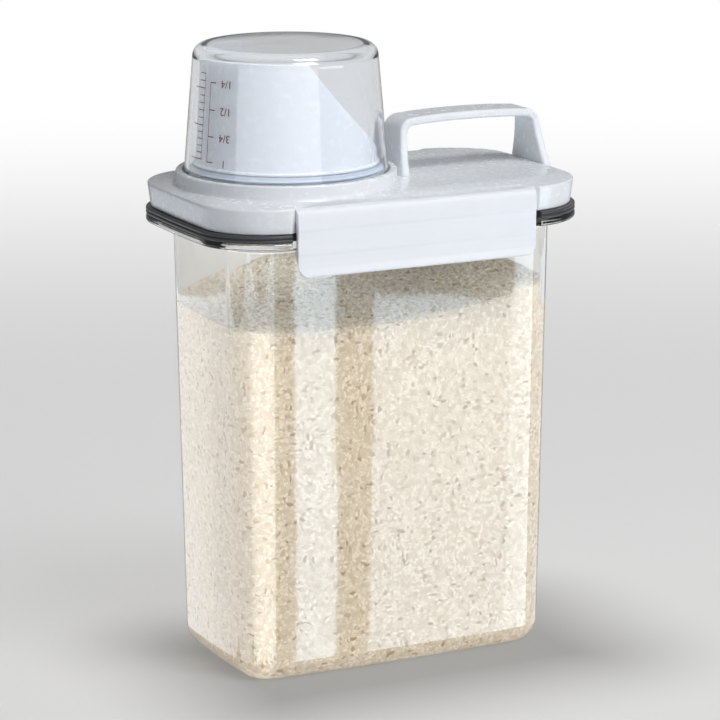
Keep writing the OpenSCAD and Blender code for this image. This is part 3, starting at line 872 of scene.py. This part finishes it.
def ink_bar(a0, a1, z0, z1):
    """A thin printed stroke between two angles and two heights: a slab bent to the wall."""
    z = np.array((z0, z1, z1, z0))
    r = cup_radius(z) + np.array((0.04, 0.04, -0.02, -0.02))
    a = np.radians(np.linspace(a0, a1, 7))[:, None]
    rows = np.stack((CUP_X + r * np.cos(a), r * np.sin(a), np.broadcast_to(z, (7, 4))), -1)
    return skin(rows, ends=[rows[0].mean(0), rows[-1].mean(0)])


def ink_number(text, angle, depth):
    """Digits upside down on the upturned cup: a thin solid of the built-in font, bent to the wall."""
    curve = bpy.data.curves.new("digits", "FONT")
    curve.body, curve.size, curve.extrude = text, NUMBER_H * 1.4, 0.03
    curve.align_x, curve.align_y = "CENTER", "CENTER"
    flat = bpy.data.objects.new("digits", curve)
    bpy.context.scene.collection.objects.link(flat)
    bpy.context.view_layer.update()
    shape = bpy.data.meshes.new_from_object(flat.evaluated_get(bpy.context.evaluated_depsgraph_get()))
    places = np.array([v.co for v in shape.vertices])
    faces = [list(p.vertices) for p in shape.polygons]
    bpy.data.objects.remove(flat)
    bpy.data.curves.remove(curve)
    bpy.data.meshes.remove(shape)
    return wrapped(-places[:, 0], CUP_TOP - depth - places[:, 1], places[:, 2] + 0.01, angle), faces


def cup_scale_parts():
    """Cup fractions on one line, and a line of marks for grams with four short ones between long
    ones. The upright line of each is thinner than its marks."""
    half = STROKE / 2
    thin = np.degrees(LINE_W / CUP_RIM_R) / 2
    parts = []
    for depth, text in zip(CUP_DEPTHS, CUP_NUMBERS):
        z = CUP_TOP - depth
        parts.append(ink_bar(CUP_LINE, CUP_TICK_END, z - half, z + half))
        parts.append(ink_number(text, CUP_NUMBER, depth))
    low = GRAM_DEPTHS[0] - (GRAM_DEPTHS[1] - GRAM_DEPTHS[0]) / 5 * 2
    lines = (CUP_LINE, CUP_DEPTHS[0], CUP_DEPTHS[-1]), (GRAM_LINE, low, GRAM_DEPTHS[-1])
    for angle, first, last in lines:
        parts.append(ink_bar(angle - thin, angle + thin, CUP_TOP - last, CUP_TOP - first))
    marks = np.interp(np.arange(-2, 11) / 5, (-0.4, 0, 1, 2), (low, *GRAM_DEPTHS))
    for k, depth in enumerate(marks):
        end = GRAM_LONG_END if (k - 2) % 5 == 0 else GRAM_SHORT_END
        z = CUP_TOP - depth
        parts.append(ink_bar(end, GRAM_LINE, z - half * 0.8, z + half * 0.8))
    return parts


put("cup_scale", cup_scale_parts(), scale_ink, "cup", weighted=False, sharp=30)


# Stage, light and camera


def smooth_range(tree, value, ends, low, high):
    """A smooth step from low to high while the value goes from the first of ends to the second."""
    return add(tree, "MapRange", {"interpolation_type": "SMOOTHSTEP"}, {
        "Value": value, "From Min": ends[0], "From Max": ends[1], "To Min": low, "To Max": high,
    }).outputs["Result"]


def seen_plainly(tree, rays):
    """1 for rays from the camera and for those that come through a clear piece."""
    return add(tree, "Math", {"operation": "MAXIMUM"}, {
        0: rays.outputs["Is Camera Ray"], 1: rays.outputs["Is Transmission Ray"]}).outputs[0]


def glowing_paint(tree, colour, strength):
    """Matt paint of a colour with white light of its own added."""
    paint = add(tree, "BsdfDiffuse", None, {"Color": linear(colour)})
    glow = add(tree, "Emission", None, {"Color": (1, 1, 1, 1), "Strength": strength})
    return add(tree, "AddShader", None, {0: paint.outputs[0], 1: glow.outputs[0]}).outputs[0]


def painted_floor():
    # Matt studio paint with a painted shadow: darker close round the foot, grey about the bin and
    # white far from it. It sends light back as plain white paint does, and a painted glow within
    # 5 cm of the foot lifts the bin's foot a little
    material, tree, surface = new_material("painted_floor")
    rays = add(tree, "LightPath")
    place = add(tree, "TexCoord").outputs["Object"]
    far = add(tree, "VectorMath", {"operation": "LENGTH"}, {0: place}).outputs["Value"]
    about = add(tree, "VectorMath", {"operation": "SUBTRACT"}, {0: place, 1: PAINTED_SHADOW_AT})
    side = add(tree, "VectorMath", {"operation": "ABSOLUTE"}, {0: about.outputs[0]})
    out = add(tree, "VectorMath", {"operation": "SUBTRACT"}, {0: side.outputs[0], 1: PAINTED_SHADOW_HALF})
    out = add(tree, "VectorMath", {"operation": "MAXIMUM"}, {0: out.outputs[0], 1: (0, 0, 0)})
    gap = add(tree, "VectorMath", {"operation": "LENGTH"}, {0: out.outputs[0]}).outputs["Value"]
    # What the eye sees: the painted shadow round the foot, and a painted glow under the clear foot,
    # seen only through it
    seen_glow = add(tree, "Math", {"operation": "MULTIPLY_ADD"}, {
        0: smooth_range(tree, gap, SEEN_GLOW_REACH, SEEN_FOOT_GLOW, 0.0),
        1: rays.outputs["Is Transmission Ray"],
        2: smooth_range(tree, gap, PAINTED_SHADOW_REACH, 0.0, FLOOR_GLOW)})
    white = add(tree, "Emission", None, {"Color": (1, 1, 1, 1), "Strength": 1.0})
    look = add(tree, "MixShader", None, {
        0: smooth_range(tree, far, FADE, 0.0, 1.0),
        1: glowing_paint(tree, "#8C8C8C", seen_glow.outputs[0]),
        2: white.outputs[0]})
    # What lights the bin: white paint, with a painted glow near the foot
    bounce_and_glow = glowing_paint(tree, "#EAEAEA", smooth_range(tree, gap, FOOT_LIGHT_REACH, FOOT_LIGHT_GLOW, 0.0))
    mix = add(tree, "MixShader", None, {0: seen_plainly(tree, rays), 1: bounce_and_glow, 2: look.outputs[0]})
    tree.links.new(mix.outputs[0], surface)
    return material


def studio_floor():
    """A round floor: a disc and a wide ring round it. It doesn't show in reflections."""
    t = np.linspace(0, 2 * np.pi, 96, endpoint=False)
    rows = np.stack([r * np.column_stack((np.cos(t), np.sin(t), np.zeros(96))) for r in FLOOR_RADII])
    points, faces = skin(rows)
    mesh = bpy.data.meshes.new("floor")
    mesh.from_pydata(points.tolist(), [], [f[::-1] for f in faces] + [list(range(96))])
    mesh.materials.append(painted_floor())
    floor = bpy.data.objects.new("floor", mesh)
    bpy.context.scene.collection.objects.link(floor)
    floor.visible_glossy = False


def studio_world():
    """White where the camera or a clear piece sees it, grey in reflections, faint as a light."""
    world = bpy.data.worlds.new("studio")
    bpy.context.scene.world = world
    world.use_nodes = True
    tree = world.node_tree
    tree.nodes.clear()
    rays = add(tree, "LightPath")
    dim = add(tree, "Math", {"operation": "MULTIPLY"}, {
        0: rays.outputs["Is Glossy Ray"], 1: WORLD_MIRRORED})
    dim = add(tree, "Math", {"operation": "MAXIMUM"}, {0: dim.outputs[0], 1: WORLD_LIGHT})
    level = add(tree, "Math", {"operation": "MAXIMUM"}, {
        0: seen_plainly(tree, rays), 1: dim.outputs[0]})
    white = add(tree, "Background", None, {"Color": (1, 1, 1, 1), "Strength": level.outputs[0]})
    out = add(tree, "OutputWorld")
    tree.links.new(white.outputs[0], out.inputs["Surface"])


def direction(azimuth, elevation):
    """The unit vector towards an azimuth, counted from -Y towards -X, and an elevation."""
    a, e = np.radians((azimuth, elevation))
    return Vector((-np.sin(a) * np.cos(e), -np.cos(a) * np.cos(e), np.sin(e)))


def area_lamp(name, size, aim_z, away, distance):
    """A rectangular lamp, away from a place on the bin's axis that it looks at."""
    data = bpy.data.lights.new(name, "AREA")
    data.shape = "RECTANGLE"
    data.size, data.size_y = size
    light = bpy.data.objects.new(name, data)
    bpy.context.scene.collection.objects.link(light)
    light.location = Vector((0, 0, aim_z)) + away * distance
    light.rotation_euler = away.to_track_quat("Z", "Y").to_euler()
    light.visible_camera = False
    return light


def lamp(name, azimuth, elevation, distance, size, strength, mirrored=True):
    """A soft rectangular lamp that looks at the bin's middle. Its power gives the strength of a
    white sky over the same patch, so it doesn't change with its size."""
    light = area_lamp(name, size, LAMP_AIM_Z, direction(azimuth, elevation), distance)
    light.data.energy = strength * np.pi * size[0] * size[1]
    light.visible_glossy = mirrored
    return light


def strip(name, azimuths, heights, strength, colour):
    """A studio strip that shows only as a reflection, upright and turned to the bin's axis, between
    two azimuths and two heights. The floor doesn't show in reflections, so it may stand lower."""
    half = np.radians(azimuths[1] - azimuths[0]) / 2
    size = 2 * STRIP_FAR * np.tan(half), heights[1] - heights[0]
    light = area_lamp(name, size, sum(heights) / 2, direction(sum(azimuths) / 2, 0), STRIP_FAR)
    light.data.energy = strength * np.pi * size[0] * size[1]
    light.data.color = linear(colour)[:3]
    light.visible_diffuse = light.visible_transmission = False
    # Only a reflection that the eye sees itself shows the strip, so it adds no stray light
    light.data.use_nodes = True
    tree = light.data.node_tree
    tree.nodes.clear()
    rays = add(tree, "LightPath")
    first = add(tree, "Math", {"operation": "LESS_THAN"}, {0: rays.outputs["Diffuse Depth"], 1: 0.5})
    glow = add(tree, "Emission", None, {"Color": (1, 1, 1, 1), "Strength": first.outputs[0]})
    out = add(tree, "OutputLight")
    tree.links.new(glow.outputs[0], out.inputs["Surface"])


def grid_lamp(name, azimuth, distance, heights, width, power, spread):
    """A low lamp behind a grid: its beam stays level, so it lights the bin and not the lid."""
    size = width, heights[1] - heights[0]
    light = area_lamp(name, size, sum(heights) / 2, direction(azimuth, 0), distance)
    light.data.energy = power
    light.data.spread = np.radians(spread)
    light.visible_glossy = light.visible_transmission = False


studio_floor()
studio_world()
lamp("key", -10, 61, 1.4, (0.5, 0.4), 13)
lamp("overhead", 0, 88, 1.4, (1.2, 1.0), 0.3)
lamp("band", 35, 3, 1.5, (3.5, 0.42), 1.2)
lamp("right", -35, 24, 1.5, (0.9, 0.7), 4.2, mirrored=False)
lamp("left", 130, 25, 1.5, (0.9, 0.9), 0.3, mirrored=False)
lamp("back", 206, 8, 1.5, (1.2, 0.7), 3.0, mirrored=False).visible_transmission = False
grid_lamp("grid_left", 100, 0.6, (0, 0.15), 0.3, 0.45, 6)
strip("strip_side", (130, 172), (-0.47, -0.15), 1.7, "#E4F0FF")
strip("strip_left_corner", (70, 130), (-0.5, -0.18), 2.2, "#DCECFF")
strip("strip_near_corner", (5, 70), (-0.6, -0.17), 3.0, "#DCECFF")
strip("strip_front_edge", (-21.4, -18.6), (-0.6, -0.1), 6.0, "#D2EAFF")
strip("strip_front", (-34, -24), (-0.6, -0.17), 4.4, "#D2EAFF")
strip("strip_front_right", (-60, -34), (-0.6, -0.12), 6.0, "#DCF0FF")
strip("strip_far_corner", (-120, -60), (-0.6, -0.12), 1.2, "#DCECFF")

back = direction(CAMERA_AZIMUTH, CAMERA_ELEVATION)
camera = bpy.data.objects.new("camera", bpy.data.cameras.new("camera"))
bpy.context.scene.collection.objects.link(camera)
camera.data.lens = CAMERA_LENS
camera.data.sensor_width = SENSOR
camera.data.clip_start, camera.data.clip_end = 0.05, 30
roll = Matrix.Rotation(np.radians(CAMERA_ROLL), 3, "Z")
turn = (back.to_track_quat("Z", "Y").to_matrix() @ roll).to_4x4()
camera.matrix_world = Matrix.Translation(CAMERA_TARGET + back * CAMERA_DISTANCE) @ turn
bpy.context.scene.camera = camera
bpy.context.scene.view_settings.view_transform = "Standard"

bpy.context.view_layer.update()
